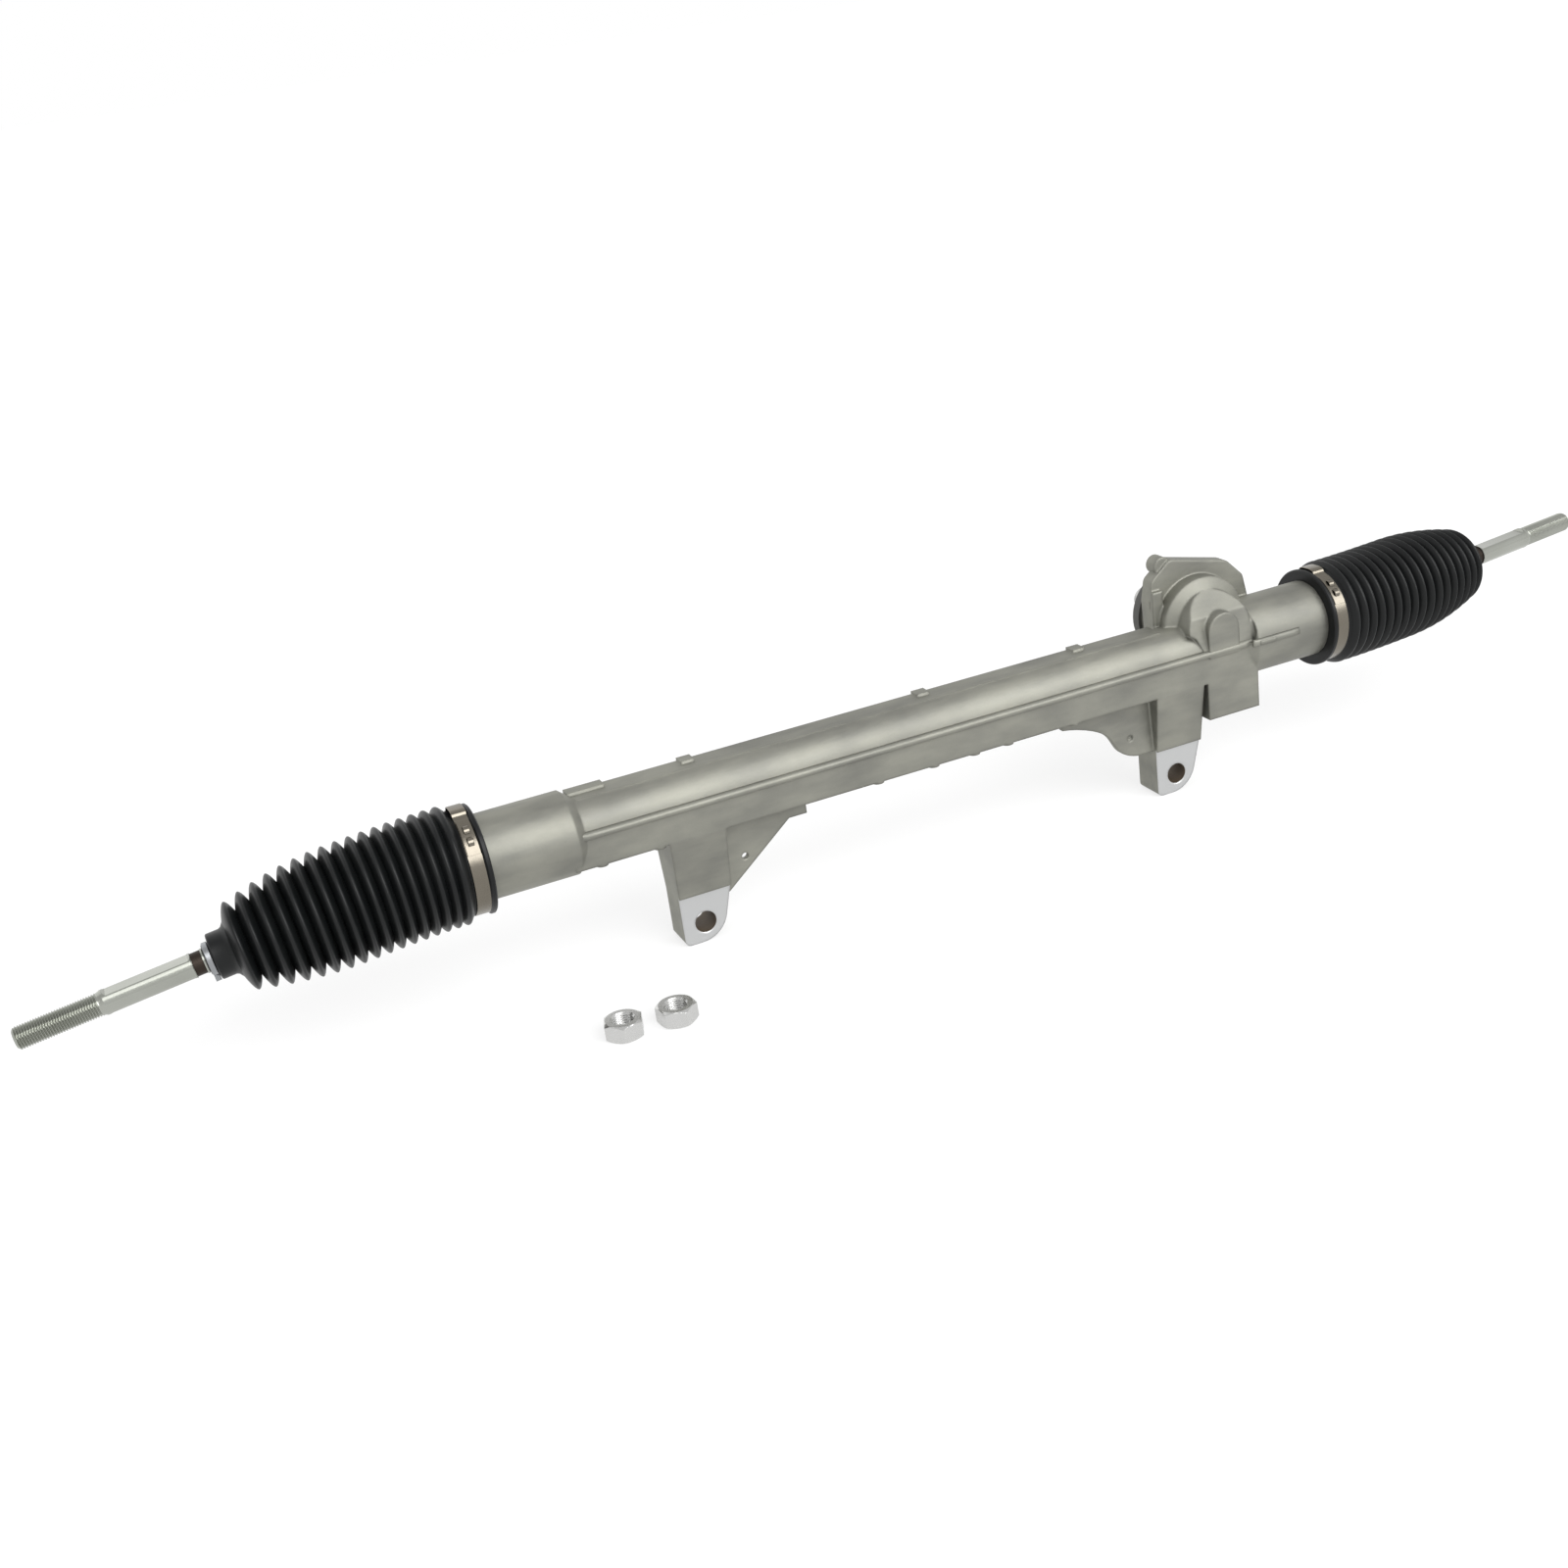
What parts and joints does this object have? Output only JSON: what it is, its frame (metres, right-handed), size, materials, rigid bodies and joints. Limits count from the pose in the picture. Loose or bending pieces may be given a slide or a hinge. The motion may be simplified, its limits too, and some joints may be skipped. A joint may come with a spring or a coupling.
{
  "type": "steering rack",
  "caption": "Rack-and-pinion steering gear with an aluminium housing, bellows, inner tie rods on ball joints and loose jam nuts.",
  "frame": {"origin": "midway between the two mounting holes, on the machined front faces of the lugs", "axes": "+X along the rack, from the plain end towards the pinion end; +Y away from the machined faces, towards the steering input; +Z from the mounting holes up to the rack"},
  "size_m": [1.149, 0.1806, 0.16],
  "materials": {
    "cast_housing": "raw die-cast aluminium, satin and slightly mottled",
    "rack_steel": "ground and induction-hardened steel, oiled",
    "bush_plastic": "dark moulded plastic",
    "pinion_steel": "case-hardened steel, machined",
    "bearing_steel": "ground bearing steel",
    "bearing_balls": "polished balls in a steel cage",
    "spring_steel": "blackened spring steel",
    "zinc_steel": "zinc-plated steel",
    "seal_rubber": "soft black rubber",
    "cap_rubber": "matt black rubber",
    "yoke_aluminium": "machined aluminium",
    "liner_plastic": "pale low-friction plastic",
    "socket_steel": "dark phosphated steel",
    "seat_plastic": "white moulded plastic",
    "rod_steel": "forged steel, bright zinc plating",
    "bellows_rubber": "black rubber, satin",
    "clamp_steel": "stainless band, bright",
    "clip_steel": "plated spring steel"
  },
  "bodies": {
    "housing": {"rack_housing": "cast_housing", "rack_bush": "bush_plastic", "needle_bush": "bearing_steel", "bearing_outer_race": "bearing_steel", "retaining_nut": "zinc_steel", "pinion_seal": "seal_rubber", "dust_cap": "cap_rubber", "rack_yoke": "yoke_aluminium", "yoke_liner": "liner_plastic", "yoke_ring": "seal_rubber", "disc_springs": "spring_steel", "yoke_plug": "yoke_aluminium", "left_bellows": "bellows_rubber", "right_bellows": "bellows_rubber", "left_band_clamp": "clamp_steel", "right_band_clamp": "clamp_steel", "jam_nuts": "zinc_steel"},
    "rack": {"rack_bar": "rack_steel", "left_lock_washer": "zinc_steel", "right_lock_washer": "zinc_steel", "left_ball_housing": "socket_steel", "right_ball_housing": "socket_steel"},
    "pinion": {"pinion_shaft": "pinion_steel", "bearing_inner_race": "bearing_steel", "snap_ring": "spring_steel"},
    "ball_set": {"bearing_ball_set": "bearing_balls"},
    "left_seat": {"left_ball_seat": "seat_plastic"},
    "right_seat": {"right_ball_seat": "seat_plastic"},
    "left_rod": {"left_tie_rod": "rod_steel", "left_spring_clip": "clip_steel"},
    "right_rod": {"right_tie_rod": "rod_steel", "right_spring_clip": "clip_steel"}
  },
  "joints": [
    {"name": "rack_slide", "type": "slide", "parent": "housing", "child": "rack", "axis": [1, 0, 0], "range_m": [-0.062, 0.062], "deforming": ["left_bellows", "right_bellows"]},
    {"name": "pinion_turn", "type": "hinge", "parent": "housing", "child": "pinion", "pos_m": [0.2123, 0.0125, 0.09797], "axis": [0, 1, 0], "range_deg": [-428, 428]},
    {"name": "ball_set_turn", "type": "hinge", "parent": "housing", "child": "ball_set", "pos_m": [0.2123, 0.0125, 0.09797], "axis": [0, 1, 0], "range_deg": [-166, 166]},
    {"name": "left_ball_pitch", "type": "hinge", "parent": "rack", "child": "left_seat", "pos_m": [-0.3597, 0.0125, 0.08], "axis": [0, 1, 0], "range_deg": [-4.6, 19.4]},
    {"name": "left_ball_yaw", "type": "hinge", "parent": "left_seat", "child": "left_rod", "pos_m": [-0.3597, 0.0125, 0.08], "axis": [0.1288, 0, -0.9917], "range_deg": [-12.9, 11.1]},
    {"name": "right_ball_pitch", "type": "hinge", "parent": "rack", "child": "right_seat", "pos_m": [0.3503, 0.0125, 0.08], "axis": [0, 1, 0], "range_deg": [-12.3, 11.7]},
    {"name": "right_ball_yaw", "type": "hinge", "parent": "right_seat", "child": "right_rod", "pos_m": [0.3503, 0.0125, 0.08], "axis": [0.0052, 0, 1], "range_deg": [-22.6, 1.4]}
  ],
  "couplings": [
    {"joint": "pinion_turn", "follows": "rack_slide", "rad_per_m": -120.48},
    {"joint": "ball_set_turn", "follows": "rack_slide", "rad_per_m": -46.713}
  ]
}
